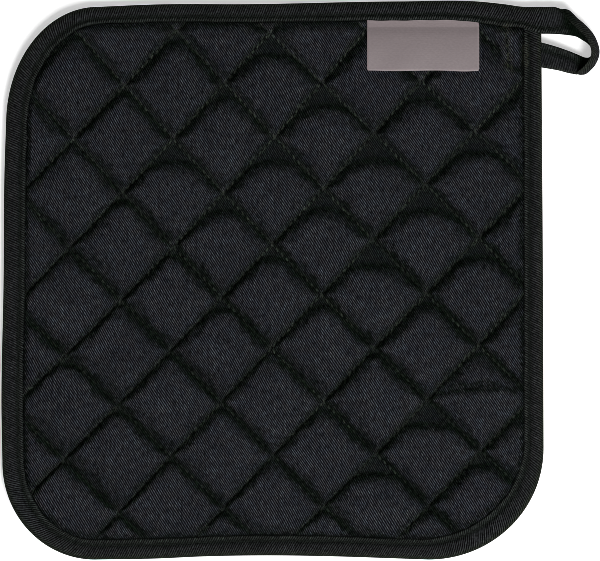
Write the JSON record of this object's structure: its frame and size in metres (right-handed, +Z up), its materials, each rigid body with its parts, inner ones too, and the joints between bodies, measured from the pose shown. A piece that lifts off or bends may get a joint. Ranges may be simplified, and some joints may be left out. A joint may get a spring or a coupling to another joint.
{
  "type": "quilted pot holder",
  "caption": "Square quilted cloth pot holder, dark twill sewn in diamonds, with a bound edge, a corner hanging loop and a plain label, lying flat.",
  "frame": {"origin": "middle of the square on its underside, on the flat of a diamond that rests on the surface", "axes": "+Z up out of the labelled face, +Y towards the labelled side, +X towards the side with the hanging loop"},
  "size_m": [0.2185, 0.2043, 0.0095],
  "materials": {
    "panel_twill": "dark cotton twill, quilted over filling",
    "tape_twill": "black cotton twill tape, folded and topstitched",
    "label_satin": "plain grey woven satin ribbon"
  },
  "bodies": {
    "root": {"quilted_panel": "panel_twill", "edge_binding": "tape_twill", "hanging_loop": "tape_twill", "label": "label_satin"}
  },
  "joints": []
}
